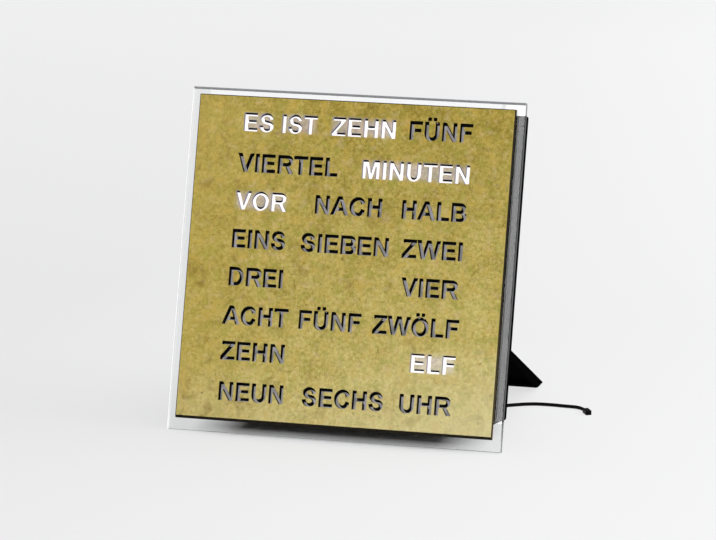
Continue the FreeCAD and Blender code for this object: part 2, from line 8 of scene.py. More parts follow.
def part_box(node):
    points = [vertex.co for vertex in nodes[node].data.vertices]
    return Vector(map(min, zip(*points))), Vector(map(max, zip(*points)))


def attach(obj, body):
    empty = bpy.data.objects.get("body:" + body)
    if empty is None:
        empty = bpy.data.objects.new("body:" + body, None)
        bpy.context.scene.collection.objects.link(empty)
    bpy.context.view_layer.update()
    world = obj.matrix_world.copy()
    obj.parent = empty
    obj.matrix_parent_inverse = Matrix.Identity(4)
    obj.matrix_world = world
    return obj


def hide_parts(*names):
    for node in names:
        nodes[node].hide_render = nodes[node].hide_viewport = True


# A table clock that shows the time in lit words: aged brass face on clear glass, black housing, stand and lead.
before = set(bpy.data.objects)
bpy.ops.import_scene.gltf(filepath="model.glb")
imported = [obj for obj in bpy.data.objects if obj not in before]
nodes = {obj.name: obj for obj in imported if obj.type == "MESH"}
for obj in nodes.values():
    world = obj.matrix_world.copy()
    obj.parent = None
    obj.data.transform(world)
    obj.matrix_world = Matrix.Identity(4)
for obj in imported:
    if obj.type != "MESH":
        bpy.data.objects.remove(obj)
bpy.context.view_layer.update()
scene = bpy.context.scene
print("frame loaded:", len(nodes), "nodes")

mm = 0.001

# The clock's own frame: x across, y back from the front of the face, z up from the lower edge of the glass
seat = {"lean": 16.4, "back": -0.0981759, "up": 0.0018635}
seatTurn = Matrix.Rotation(math.radians(-seat["lean"]), 4, "X")
seated = Matrix.Translation((0, seat["back"], seat["up"])) @ seatTurn


# Shader maths: a socket that takes part in Python expressions
class Wire:
    def __init__(self, look, socket):
        self.look = look
        self.socket = socket

    def maths(self, operation, first, second=None):
        return self.look.node("ShaderNodeMath", {"operation": operation}, [first, second])

    def __add__(self, other):
        return self.maths("ADD", self, other)

    __radd__ = __add__

    def __sub__(self, other):
        return self.maths("SUBTRACT", self, other)

    def __rsub__(self, other):
        return self.maths("SUBTRACT", other, self)

    def __mul__(self, other):
        return self.maths("MULTIPLY", self, other)

    __rmul__ = __mul__

    def __truediv__(self, other):
        return self.maths("DIVIDE", self, other)

    def __gt__(self, other):
        return self.maths("GREATER_THAN", self, other)

    def __lt__(self, other):
        return self.maths("LESS_THAN", self, other)

    def size(self):
        return self.maths("ABSOLUTE", self)

    def power(self, other):
        return self.maths("POWER", self, other)

    def clamped(self):
        return self.maths("MINIMUM", self.maths("MAXIMUM", self, 0.0), 1.0)


class Look:
    def __init__(self, name):
        self.material = bpy.data.materials.new(name)
        self.material.use_nodes = True
        self.tree = self.material.node_tree
        self.shader = next(n for n in self.tree.nodes if n.type == "BSDF_PRINCIPLED")

    def plug(self, socket, value):
        if isinstance(value, Wire):
            self.tree.links.new(value.socket, socket)
        elif value is not None:
            socket.default_value = value

    # Any node: its settings first, then its sockets in order or by name; gives its first output
    def node(self, kind, settings=None, sockets=None, output=0):
        made = self.tree.nodes.new(kind)
        for key, value in (settings or {}).items():
            if key == "stops":
                ramp = made.color_ramp.elements
                while len(ramp) < len(value):
                    ramp.new(0.5)
                for stop, (place, colour) in zip(ramp, value):
                    stop.position = place
                    stop.color = colour
            else:
                setattr(made, key, value)
        pairs = sockets.items() if isinstance(sockets, dict) else enumerate(sockets or [])
        for key, value in pairs:
            self.plug(made.inputs[key], value)
        return Wire(self, made.outputs[output])

    def place(self):
        return self.node("ShaderNodeTexCoord", output=3)

    # Object coordinates turned back into the clock's own frame
    def clockPlace(self):
        lean = (math.radians(-seat["lean"]), 0, 0)
        back = {"Vector": self.place(), "Location": (0, seat["back"], seat["up"]), "Rotation": lean}
        return self.node("ShaderNodeMapping", {"vector_type": "TEXTURE"}, back)

    def axes(self, place):
        split = self.node("ShaderNodeSeparateXYZ", None, [place])
        outs = split.socket.node.outputs
        return [Wire(self, outs[n]) for n in range(3)]

    def noise(self, place, scale, detail=4.0, rough=0.55, distortion=0.0):
        sockets = {"Vector": place, "Scale": scale, "Detail": detail, "Roughness": rough, "Distortion": distortion}
        return self.node("ShaderNodeTexNoise", {"noise_dimensions": "3D"}, sockets)

    def ramp(self, value, stops):
        spread = [(place, (*colour, 1.0)) for place, colour in stops]
        return self.node("ShaderNodeValToRGB", {"stops": spread}, [value])

    def mix(self, amount, first, second):
        made = self.tree.nodes.new("ShaderNodeMix")
        made.data_type = "RGBA"
        self.plug(made.inputs["Factor"], amount)
        colours = [s for s in made.inputs if s.type == "RGBA"]
        for socket, value in zip(colours, (first, second)):
            self.plug(socket, (*value, 1.0) if isinstance(value, tuple) else value)
        return Wire(self, next(s for s in made.outputs if s.type == "RGBA"))

    def bump(self, height, strength, distance):
        return self.node("ShaderNodeBump", None, {"Height": height, "Strength": strength, "Distance": distance})

    # Mixes a second finish over the first, by a mask
    def over(self, mask, **values):
        first = self.shader
        out = next(n for n in self.tree.nodes if n.type == "OUTPUT_MATERIAL")
        self.shader = self.tree.nodes.new("ShaderNodeBsdfPrincipled")
        self.finish(**values)
        both = self.node("ShaderNodeMixShader", None, [mask, Wire(self, first.outputs[0]), Wire(self, self.shader.outputs[0])])
        self.tree.links.new(both.socket, out.inputs["Surface"])
        return self.material

    def finish(self, **values):
        for key, value in values.items():
            socket = self.shader.inputs[{"baseColor": "Base Color", "roughness": "Roughness", "metallic": "Metallic",
                                         "normal": "Normal", "ior": "IOR", "coat": "Coat Weight",
                                         "coatRoughness": "Coat Roughness", "transmission": "Transmission Weight",
                                         "glow": "Emission Color", "glowStrength": "Emission Strength",
                                         "sheen": "Sheen Weight", "specular": "Specular IOR Level",
                                         "alpha": "Alpha"}[key]]
            if isinstance(value, tuple) and len(value) == 3:
                value = (*value, 1.0)
            self.plug(socket, value)
        return self.material


# Words of the clock: row by row, where each starts from the left edge of the face, how wide it is, and if it is lit
words = {
    "capHeight": 12.2,
    "capLines": [11.2, 38.6, 63.9, 89.7, 115.1, 141.0, 164.9, 192.0],
    "rows": [
        [("ES", 32.3, 52.7, True), ("IST", 58.9, 83.0, True), ("ZEHN", 93.1, 137.1, True), ("FÜNF", 147.1, 189.9, False)],
        [("VIERTEL", 30.2, 99.5, False), ("MINUTEN", 116.5, 189.7, True)],
        [("VOR", 30.3, 66.0, True), ("NACH", 86.1, 131.9, False), ("HALB", 145.9, 189.8, False)],
        [("EINS", 30.4, 67.2, False), ("SIEBEN", 78.2, 138.4, False), ("ZWEI", 148.0, 188.9, False)],
        [("DREI", 30.2, 67.4, False), ("VIER", 149.2, 188.0, False)],
        [("ACHT", 27.7, 73.2, False), ("FÜNF", 81.0, 123.5, False), ("ZWÖLF", 131.8, 190.3, False)],
        [("ZEHN", 28.5, 72.5, False), ("ELF", 159.4, 189.7, True)],
        [("NEUN", 29.3, 73.7, False), ("SECHS", 87.2, 142.8, False), ("UHR", 154.0, 189.0, False)],
    ],
}
plateLeft = -109.0
plateTop = 226.0

# Plain bold capitals, in parts of their height. Each outline is a closed loop; a third item, v or h, makes the way to
# that point a quarter round that leaves upright or level. The first number is the width that the letter takes up.
stem = 0.205
capitals = {
    "A": (1.01, 0.0, [[(0.0, 0.0), (0.39, 1.0), (0.62, 1.0), (1.01, 0.0), (0.79, 0.0), (0.71, 0.225), (0.30, 0.225), (0.22, 0.0)],
                      [(0.36, 0.39), (0.65, 0.39), (0.505, 0.80)]]),
    "B": (0.95, 0.09, [[(0.0, 0.0), (0.0, 1.0), (0.50, 1.0), (0.80, 0.745, "h"), (0.69, 0.535), (0.85, 0.29, "h"), (0.52, 0.0, "v")],
                       [(stem, 0.84), (stem, 0.595), (0.45, 0.595), (0.585, 0.72, "h"), (0.45, 0.84, "v")],
                       [(stem, 0.165), (stem, 0.44), (0.48, 0.44), (0.635, 0.30, "h"), (0.48, 0.165, "v")]]),
    "C": (1.0, 0.06, [[(0.855, 0.69), (0.48, 1.02, "v"), (0.0, 0.50, "h"), (0.47, -0.02, "v"), (0.86, 0.32, "h"),
                       (0.66, 0.37), (0.475, 0.155, "v"), (0.21, 0.505, "h"), (0.475, 0.845, "v"), (0.65, 0.645, "h")]]),
    "D": (1.0, 0.095, [[(0.0, 0.0), (0.0, 1.0), (0.38, 1.0), (0.84, 0.50, "h"), (0.38, 0.0, "v")],
                       [(stem, 0.165), (stem, 0.835), (0.35, 0.835), (0.63, 0.50, "h"), (0.35, 0.165, "v")]]),
    "E": (0.92, 0.1, [[(0.0, 0.0), (0.0, 1.0), (0.74, 1.0), (0.74, 0.835), (stem, 0.835), (stem, 0.60), (0.695, 0.60),
                       (0.695, 0.44), (stem, 0.44), (stem, 0.168), (0.765, 0.168), (0.765, 0.0)]]),
    "F": (0.85, 0.1, [[(0.0, 0.0), (0.0, 1.0), (0.70, 1.0), (0.70, 0.835), (stem, 0.835), (stem, 0.595), (0.63, 0.595),
                       (0.63, 0.43), (stem, 0.43), (stem, 0.0)]]),
    "H": (1.0, 0.1, [[(0.0, 0.0), (0.0, 1.0), (stem, 1.0), (stem, 0.61), (0.60, 0.61), (0.60, 1.0), (0.805, 1.0), (0.805, 0.0),
                      (0.60, 0.0), (0.60, 0.435), (stem, 0.435), (stem, 0.0)]]),
    "I": (0.385, 0.095, [[(0.0, 0.0), (0.0, 1.0), (stem, 1.0), (stem, 0.0)]]),
    "L": (0.85, 0.1, [[(0.0, 0.0), (0.0, 1.0), (stem, 1.0), (stem, 0.168), (0.70, 0.168), (0.70, 0.0)]]),
    "M": (1.16, 0.1, [[(0.0, 0.0), (0.0, 1.0), (0.30, 1.0), (0.482, 0.32), (0.66, 1.0), (0.965, 1.0), (0.965, 0.0), (0.775, 0.0),
                       (0.775, 0.79), (0.58, 0.0), (0.385, 0.0), (0.19, 0.79), (0.19, 0.0)]]),
    "N": (1.0, 0.1, [[(0.0, 0.0), (0.0, 1.0), (0.20, 1.0), (0.61, 0.33), (0.61, 1.0), (0.80, 1.0), (0.80, 0.0), (0.595, 0.0),
                      (0.19, 0.655), (0.19, 0.0)]]),
    "O": (1.085, 0.06, [[(0.0, 0.50), (0.482, 1.02, "v"), (0.965, 0.50, "h"), (0.482, -0.02, "v"), (0.0, 0.50, "h")],
                        [(0.21, 0.50), (0.482, 0.155, "v"), (0.755, 0.50, "h"), (0.482, 0.845, "v"), (0.21, 0.50, "h")]]),
    "R": (1.0, 0.1, [[(0.0, 0.0), (0.0, 1.0), (0.55, 1.0), (0.86, 0.725, "h"), (0.63, 0.45, "v"), (0.905, 0.0), (0.665, 0.0),
                      (0.44, 0.41), (stem, 0.41), (stem, 0.0)],
                     [(stem, 0.575), (stem, 0.835), (0.50, 0.835), (0.65, 0.71, "h"), (0.49, 0.575, "v")]]),
    "S": (0.93, 0.055, [[(0.76, 0.70), (0.40, 1.02, "v"), (0.04, 0.73, "h"), (0.38, 0.43, "v"), (0.60, 0.275, "h"), (0.41, 0.145, "v"),
                         (0.20, 0.345, "h"), (0.0, 0.325), (0.41, -0.02, "v"), (0.81, 0.30, "h"), (0.45, 0.60, "v"),
                         (0.24, 0.735, "h"), (0.40, 0.86, "v"), (0.56, 0.69, "h")]]),
    "T": (0.85, 0.025, [[(0.0, 1.0), (0.80, 1.0), (0.80, 0.83), (0.503, 0.83), (0.503, 0.0), (0.297, 0.0), (0.297, 0.83), (0.0, 0.83)]]),
    "U": (1.0, 0.095, [[(0.0, 1.0), (stem, 1.0), (stem, 0.38), (0.405, 0.155, "v"), (0.605, 0.38, "h"), (0.605, 1.0), (0.81, 1.0),
                        (0.81, 0.37), (0.405, -0.02, "v"), (0.0, 0.37, "h")]]),
    "V": (0.93, 0.0, [[(0.0, 1.0), (0.22, 1.0), (0.468, 0.26), (0.71, 1.0), (0.93, 1.0), (0.575, 0.0), (0.358, 0.0)]]),
    "W": (1.32, 0.005, [[(0.0, 1.0), (0.215, 1.0), (0.365, 0.31), (0.54, 1.0), (0.77, 1.0), (0.95, 0.31), (1.10, 1.0), (1.31, 1.0),
                         (1.06, 0.0), (0.84, 0.0), (0.655, 0.70), (0.47, 0.0), (0.25, 0.0)]]),
    "Z": (0.85, 0.025, [[(0.0, 0.0), (0.0, 0.18), (0.53, 0.835), (0.06, 0.835), (0.06, 1.0), (0.79, 1.0), (0.79, 0.845), (0.24, 0.168),
                         (0.80, 0.168), (0.80, 0.0)]]),
}
dots = {"Ü": ("U", 0.405), "Ö": ("O", 0.482)}
dot = {"half": 0.085, "apart": 0.155, "low": 1.07, "high": 1.235}


def letterLoops(letter):
    base, middle = dots.get(letter, (letter, 0.0))
    advance, bearing, loops = capitals[base]
    loops = list(loops)
    if letter in dots:
        for side in (-1, 1):
            x = middle + side * dot["apart"]
            left, right = x - dot["half"], x + dot["half"]
            loops.append([(left, dot["low"]), (left, dot["high"]), (right, dot["high"]), (right, dot["low"])])
    return advance, bearing, loops


# One flat curve for a word, its letters set side by side and drawn out to the width that it has
def wordCurve(text, left, right, capLine, grow=0.0):
    curve = bpy.data.curves.new("word", "CURVE")
    curve.dimensions = "2D"
    curve.fill_mode = "BOTH"
    curve.resolution_u = 5
    curve.offset = grow
    pen = 0.0
    placed = []
    for letter in text:
        advance, bearing, loops = letterLoops(letter)
        placed += [[(pen + bearing + p[0], p[1], *p[2:]) for p in loop] for loop in loops]
        pen += advance
    low = min(p[0] for loop in placed for p in loop)
    high = max(p[0] for loop in placed for p in loop)
    wide = (right - left) * mm / (high - low)
    tall = words["capHeight"] * mm
    x0 = (plateLeft + left) * mm
    z0 = (plateTop - capLine) * mm - tall
    for loop in placed:
        spline = curve.splines.new("BEZIER")
        closes = loop[0][:2] == loop[-1][:2]
        points = loop[:-1] if closes else loop
        spline.bezier_points.add(len(points) - 1)
        spline.use_cyclic_u = True
        spots = [Vector((x0 + (p[0] - low) * wide, z0 + p[1] * tall, 0)) for p in points]
        for knot, spot in zip(spline.bezier_points, spots):
            knot.co = spot
            knot.handle_left_type = knot.handle_right_type = "VECTOR"
        ways = [p[2] if len(p) > 2 else "" for p in (loop[1:] if closes else loop[1:] + loop[:1])]
        for n, way in enumerate(ways):
            here = spline.bezier_points[n]
            there = spline.bezier_points[(n + 1) % len(points)]
            gap = (there.co - here.co) * 0.5523
            upright, level = Vector((0, gap.y, 0)), Vector((gap.x, 0, 0))
            if way:
                here.handle_right_type = there.handle_left_type = "FREE"
                here.handle_right = here.co + (upright if way == "v" else level)
                there.handle_left = there.co - (level if way == "v" else upright)
    return curve


def meshOf(thing, name):
    holder = bpy.data.objects.new(name, thing)
    scene.collection.objects.link(holder)
    bpy.context.view_layer.update()
    mesh = bpy.data.meshes.new_from_object(holder.evaluated_get(bpy.context.evaluated_depsgraph_get()))
    bpy.data.objects.remove(holder)
    return mesh


# Solid letters that cut through a sheet lying between two depths of the clock: their shift across it, their shift
# up, and how much they grow on all sides
def letterCutter(front, rear, unlit, lit=None):
    cutter = bmesh.new()
    for row, line in zip(words["rows"], words["capLines"]):
        for text, left, right, on in row:
            shiftX, shiftZ, grow = lit if on and lit else unlit
            curve = wordCurve(text, left, right, line, grow * mm)
            curve.extrude = (rear - front) * mm / 2
            word = meshOf(curve, "word")
            spot = Matrix.Translation((shiftX * mm, (front + rear) * mm / 2, shiftZ * mm))
            word.transform(spot @ Matrix.Rotation(math.pi / 2, 4, "X"))
            cutter.from_mesh(word)
            bpy.data.meshes.remove(word)
    bmesh.ops.remove_doubles(cutter, verts=cutter.verts, dist=1e-6)
    bmesh.ops.recalc_face_normals(cutter, faces=cutter.faces)
    mesh = bpy.data.meshes.new("cutter")
    cutter.to_mesh(mesh)
    cutter.free()
    return mesh


def newPiece(name, mesh, material, body="clock", replaces=()):
    piece = bpy.data.objects.new(name, mesh)
    scene.collection.objects.link(piece)
    piece.data.materials.clear()
    piece.data.materials.append(material)
    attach(piece, body)
    if replaces:
        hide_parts(*replaces)
    return piece


def sheetMesh(x0, x1, y0, y1, z0, z1, edge=0.0):
    sheet = bmesh.new()
    bmesh.ops.create_cube(sheet, size=1)
    bmesh.ops.scale(sheet, vec=((x1 - x0) * mm, (y1 - y0) * mm, (z1 - z0) * mm), verts=sheet.verts)
    bmesh.ops.translate(sheet, vec=((x0 + x1) * mm / 2, (y0 + y1) * mm / 2, (z0 + z1) * mm / 2), verts=sheet.verts)
    if edge:
        bmesh.ops.bevel(sheet, geom=sheet.edges, offset=edge * mm, affect="EDGES", segments=2, profile=0.5, material=-1)
    mesh = bpy.data.meshes.new("sheet")
    sheet.to_mesh(mesh)
    sheet.free()
    return mesh


def cutBy(mesh, cutter):
    body = bpy.data.objects.new("body", mesh)
    tool = bpy.data.objects.new("tool", cutter)
    scene.collection.objects.link(body)
    scene.collection.objects.link(tool)
    cut = body.modifiers.new("cut", "BOOLEAN")
    cut.object = tool
    cut.solver = "EXACT"
    cut.operation = "DIFFERENCE"
    bpy.context.view_layer.update()
    made = bpy.data.meshes.new_from_object(body.evaluated_get(bpy.context.evaluated_depsgraph_get()))
    bpy.data.objects.remove(body)
    bpy.data.objects.remove(tool)
    return made


# Aged brass of the face: fine olive and ochre mottling with brown specks and stains. Painted light on it: lighter
# towards the lower right and along the bottom, a painted highlight at the upper left, and a painted glow round the lit
# words
brassLook = {"cloud": 60.0, "grain": 380.0, "fleck": 1500.0, "tint": 120.0, "roughness": 0.46}


def agedBrass():
    look = Look("agedBrass")
    place = look.clockPlace()
    x, y, z = look.axes(place)
    cloud = look.noise(place, brassLook["cloud"], 4.0, 0.55)
    grain = look.noise(place, brassLook["grain"], 5.0, 0.7)
    fleck = look.noise(place, brassLook["fleck"], 2.0, 0.6)
    tint = look.noise(place, brassLook["tint"], 3.0, 0.5, 0.3)
    # Painted light: darker tones at the top turn to lighter ones at the lower right, where more light falls
    fall = ((z - 0.008) / 0.218).clamped()
    across = ((x + 0.109) / 0.218).clamped()
    lower = ((1.0 - fall) * (0.6 + across * 0.4)).clamped().power(1.3)
    tone = (cloud - 0.5) * 0.8 + (grain - 0.5) * 1.7 + (fleck - 0.5) * 1.1 + 0.5
    upper = look.ramp(tone, [(0.15, (0.25, 0.17, 0.014)), (0.5, (0.465, 0.35, 0.052)), (0.85, (0.68, 0.545, 0.13))])
    under = look.ramp(tone, [(0.15, (0.56, 0.43, 0.085)), (0.5, (0.86, 0.72, 0.225)), (0.85, (0.98, 0.91, 0.44))])
    base = look.mix(lower, upper, under)
    ochre = look.mix(((tint - 0.52) * 7.0).clamped() * 0.5, base, (0.68, 0.46, 0.08))
    olive = look.mix(((0.48 - tint) * 7.0).clamped() * 0.42, ochre, (0.43, 0.425, 0.06))
    blush = look.noise(place, 170.0, 3.0, 0.6, 0.4)
    rosy = look.mix(((blush - 0.53) * 7.0).clamped() * 0.4, olive, (0.80, 0.62, 0.33))
    brown = look.noise(place, 300.0, 5.0, 0.75, 0.5)
    specks = ((brown - 0.61) * 14.0).clamped() * (0.7 - across * 0.15)
    gold = ((-0.045 - x) / 0.06).clamped() * 0.3
    blotch = look.noise(place, 85.0, 4.0, 0.65, 0.6)
    stained = ((blotch - 0.54) * 5.0).clamped() * (0.9 - across * 0.65)
    # Painted light: a pale glow low on the right and along the bottom edge
    pale = ((x + 0.02) / 0.13).clamped() * ((0.075 - z) / 0.06).clamped() * 0.6
    pale = pale + ((0.045 - z) / 0.03).clamped() * (1.0 - across) * 0.3
    # Painted highlight at the upper left
    glare = ((-0.02 - x) / 0.08).clamped() * ((z - 0.12) / 0.09).clamped() * 0.1
    # Stains and tints of the brass, with the painted highlight and painted low light over them
    tintAndPaintedLight = look.mix(glare, look.mix(stained, look.mix(gold, look.mix(pale, rosy, (0.97, 0.87, 0.50)), (0.62, 0.44, 0.068)), (0.31, 0.20, 0.026)), (0.95, 0.82, 0.33))
    colour = look.mix(specks, tintAndPaintedLight, (0.15, 0.085, 0.02))
    # Painted glow: the brass round the lit words glows faintly blue, as though their light spilled onto it
    halo = litWords(look, place, 1.6, 2.6).clamped().power(1.4) * (0.2 + cloud * 1.1)
    height = grain * 0.6 + fleck * 0.4
    roughness = brassLook["roughness"] + (grain - 0.5) * 0.25 + specks * 0.2
    return look.finish(baseColor=colour, metallic=0.55, roughness=roughness, normal=look.bump(height, 0.3, 0.00025),
                       glow=look.mix(halo, (0.0, 0.0, 0.0), (0.12, 0.135, 0.32)), glowStrength=1.0)


# One within each lit word's box, falling to nought over a margin round it, and from further in if there is an inset
def litWords(look, place, margin, inset=0.0):
    x, y, z = look.axes(place)
    lit = None
    for row, line in zip(words["rows"], words["capLines"]):
        for text, left, right, on in row:
            if on:
                middleX, halfX = (plateLeft + (left + right) / 2) * mm, (right - left) * mm / 2
                middleZ, halfZ = (plateTop - line - words["capHeight"] / 2) * mm, words["capHeight"] * mm / 2
                fade = 1.0 / ((margin + inset) * mm)
                outX = ((halfX + margin * mm - (x - middleX).size()) * fade).clamped()
                outZ = ((halfZ + margin * mm - (z - middleZ).size()) * fade).clamped()
                lit = outX * outZ if lit is None else lit + outX * outZ
    return lit


# Cut edges of the face: oxide, nearly black, with brown showing through, more so low down on the right edge, where that
# brown is painted light. On the wider lower edge the black is also painted shade, for the shadow under the face. Lit
# words glow on theirs, a painted glow of their light
def darkEdge():
    look = Look("darkEdge")
    place = look.clockPlace()
    x, y, z = look.axes(place)
    grain = look.noise(place, 700.0, 5.0, 0.7)
    shade = look.ramp(grain, [(0.35, (0.010, 0.008, 0.006)), (0.6, (0.022, 0.016, 0.010)), (0.8, (0.06, 0.04, 0.018))])
    # Painted light: on the right edge brown shows more low down, lighter where the lower right of the face is lit
    tintAndPaintedLight = ((0.11 - z) * 9.0).clamped() * (0.4 + grain * 0.9)
    tintAndPaintedLight = (tintAndPaintedLight * (x > 0.1088)).clamped()
    # Painted glow: the walls of the lit words glow with their light
    glow = look.mix(litWords(look, place, 1.0), (0.0, 0.0, 0.0), (0.30, 0.28, 0.31))
    return look.finish(baseColor=look.mix(tintAndPaintedLight, shade, (0.13, 0.09, 0.035)), roughness=0.6 + grain * 0.2,
                       specular=0.1, glow=glow, glowStrength=1.0, normal=look.bump(grain, 0.3, 0.0001))


def blackFilm():
    look = Look("blackFilm")
    grain = look.noise(look.place(), 1500.0, 3.0)
    shade = look.ramp(grain, [(0.3, (0.003, 0.003, 0.003)), (0.7, (0.006, 0.006, 0.006))])
    return look.finish(baseColor=shade, roughness=0.6 + grain * 0.15, specular=0.1)


# Opal sheet: glows behind the words that are lit, and faintly behind the unlit ones, where the glow is painted light
# for the light that reaches it there
def opalSheet():
    look = Look("opalSheet")
    place = look.clockPlace()
    haze = look.noise(place, 400.0, 2.0)
    cloud = look.noise(place, 160.0, 2.0)
    base = look.ramp(haze, [(0.3, (0.42, 0.38, 0.33)), (0.7, (0.5, 0.46, 0.4))])
    # Painted light: the dim glow behind the unlit words
    unlit = look.ramp(cloud, [(0.35, (0.13, 0.13, 0.14)), (0.65, (0.27, 0.255, 0.28))])
    lit = litWords(look, place, 4.0) > 0.3
    glow = look.mix(lit, unlit, (1.0, 0.965, 1.0))
    return look.finish(baseColor=base, roughness=0.5, glow=glow, glowStrength=1.15)


# Clear glass: polished edges, the upper one ground and grey. The right rim is painted near black as painted shade, and
# the left rim glows as a painted highlight
def paneGlass():
    look = Look("paneGlass")
    place = look.clockPlace()
    x, y, z = look.axes(place)
    grain = look.noise(place, 900.0, 3.0)
    edge = 0.0005
    leftEdge = x < edge - 0.115
    sides = ((x > 0.115 - edge) + leftEdge + (z < edge)).clamped()
    upper = z > 0.231 - 0.0014
    look.finish(baseColor=look.mix(sides, (0.99, 0.998, 0.995), (0.93, 0.95, 0.95)), roughness=sides * 0.15,
                transmission=1.0, ior=1.5)
    grey = look.ramp(grain, [(0.35, (0.30, 0.305, 0.32)), (0.65, (0.40, 0.405, 0.42))])
    lowEdge = z < edge
    # Painted shade: the right rim near black, so that no light shows in it
    paintedDarkRim = (x > 0.115 - edge) * (z > 0.020) * (z < 0.2225)
    ground = look.mix(paintedDarkRim, look.mix(upper, (0.92, 0.92, 0.93), grey), (0.02, 0.02, 0.021))
    # Painted highlight: the left rim glows white
    return look.over((upper + lowEdge * 0.4 + leftEdge + paintedDarkRim).clamped(), baseColor=ground, roughness=0.5,
                     glow=look.mix(leftEdge, (0.0, 0.0, 0.0), (0.55, 0.55, 0.55)), glowStrength=1.0)


# Powder coat, moulded plastic and other plain finishes share one recipe: a colour, its drift, and a fine skin
def skinned(name, dark, light, roughness, grainScale, grainDepth, metallic=0.0, drift=60.0, specular=0.2):
    look = Look(name)
    place = look.place()
    cloud = look.noise(place, drift, 4.0)
    skin = look.noise(place, grainScale, 3.0, 0.6)
    shade = look.ramp(cloud * 0.6 + skin * 0.4, [(0.35, dark), (0.65, light)])
    return look.finish(baseColor=shade, metallic=metallic, roughness=roughness + (cloud - 0.5) * 0.16,
                       specular=specular, normal=look.bump(skin, 0.5, grainDepth))


# Matt black with a fine grain, in a lit and a shaded copy. Painted shade makes it darker and without sheen on the
# right, where a soft light stands close by, and on every face that doesn't turn towards the back
def deadBlack(name, right, grainScale, grainDepth):
    look = Look(name)
    place = look.place()
    x, y, z = look.axes(place)
    skin = look.noise(place, grainScale, 3.0, 0.6)
    fine = look.bump(skin, 0.5, grainDepth)
    dark = look.ramp(skin, [(0.35, (0.0014, 0.0014, 0.0015)), (0.65, (0.0026, 0.0026, 0.0027))])
    look.finish(baseColor=dark, roughness=0.6 + skin * 0.1, specular=0.0, normal=fine)
    shade = look.ramp(skin, [(0.35, (0.006, 0.006, 0.0063)), (0.65, (0.011, 0.011, 0.0114))])
    across, back, up = look.axes(look.node("ShaderNodeTexCoord", output=1))
    # Only faces turned towards the back, left of the right side, get the lighter copy with sheen
    outer = (back > 0.1) * (x < right)
    return look.over(outer, baseColor=shade, roughness=0.5 + skin * 0.1, specular=0.28, normal=fine)


def brushedSteel(name, tone, stretch):
    look = Look(name)
    turned = look.node("ShaderNodeMapping", None, {"Vector": look.place(), "Scale": stretch})
    lines = look.noise(turned, 900.0, 3.0, 0.5)
    shade = look.ramp(lines, [(0.35, tuple(c * 0.86 for c in tone)), (0.65, tone)])
    return look.finish(baseColor=shade, metallic=1.0, roughness=0.25 + lines * 0.2, normal=look.bump(lines, 0.15, 0.00005))


# Circuit board: solder resist over faint copper runs
def boardLaminate():
    look = Look("boardLaminate")
    place = look.clockPlace()
    x, y, z = look.axes(place)
    weave = look.noise(place, 2200.0, 2.0)
    flat = look.node("ShaderNodeMapping", None, {"Vector": place, "Rotation": (math.pi / 2, 0, 0)})
    runs = look.node("ShaderNodeTexBrick", {"offset": 0.37}, {"Vector": flat, "Scale": 90.0, "Mortar Size": 0.05}, output=1)
    green = look.ramp(weave, [(0.3, (0.012, 0.075, 0.035)), (0.7, (0.018, 0.10, 0.048))])
    return look.finish(baseColor=look.mix(runs, green, (0.03, 0.15, 0.07)), roughness=0.3 + weave * 0.1, coat=0.4)


print("materials and letters ready")

# Camera at the photograph's angle, first, and the lead with it
camera = bpy.data.objects.new("camera", bpy.data.cameras.new("camera"))
scene.collection.objects.link(camera)
view = {"place": (0.7431, -2.6795, 0.7293), "pitch": 77.173, "turn": 15.672, "lens": 211.17}
camera.location = view["place"]
camera.rotation_euler = (math.radians(view["pitch"]), 0, math.radians(view["turn"]))
camera.data.lens = view["lens"]
camera.data.sensor_width = 36
camera.data.clip_end = 60
scene.camera = camera

# Lead: leaves the plug's strain relief, goes down to the tied coil behind the housing, and out past the right side
lead = {
    "diameter": 0.0024,
    "length": 1.478,
    "run": [(0.052, 0.00457, 0.01592), (0.052, 0.01609, 0.01254), (0.051, 0.02982, 0.009), (0.044, 0.04182, 0.0105),
            (0.03239, 0.04374, 0.01185), (0.0204, 0.04341, 0.01185)],
    "tail": [(0.0204, 0.00423, 0.00195), (0.03639, 0.0038, 0.00195), (0.054, 0.00582, 0.0012), (0.072, 0.01232, 0.0012),
             (0.091, 0.02582, 0.0012), (0.105, 0.03432, 0.0012), (0.118, 0.03532, 0.0012), (0.129, 0.03402, 0.0012),
             (0.1372, 0.03382, 0.0012), (0.1424, 0.03002, 0.0012), (0.1448, 0.02582, 0.0012)],
}
coil = {"centre": (0.018, 0.02382), "outer": 0.019525, "inner": 0.0088, "pitch": 0.0033, "floor": 0.00195, "turns": 3.25,
        "layers": 4, "start": -90.0, "points": 14}


def coilPoint(turns):
    layerLength = coil["turns"] + 0.5
    layer = min(int(turns / layerLength + 1e-9), coil["layers"] - 1)
    along = min(turns - layer * layerLength, layerLength)
    climb = max(0.0, (along - coil["turns"]) / 0.5)
    along = min(along, coil["turns"])
    radius = coil["inner"] + along * coil["pitch"] if layer % 2 else coil["outer"] - along * coil["pitch"]
    height = coil["floor"] + (layer + 0.5 - 0.5 * math.cos(math.pi * climb)) * coil["pitch"]
    angle = math.radians(coil["start"] - 360 * turns)
    return (coil["centre"][0] + radius * math.cos(angle), coil["centre"][1] + radius * math.sin(angle), height)


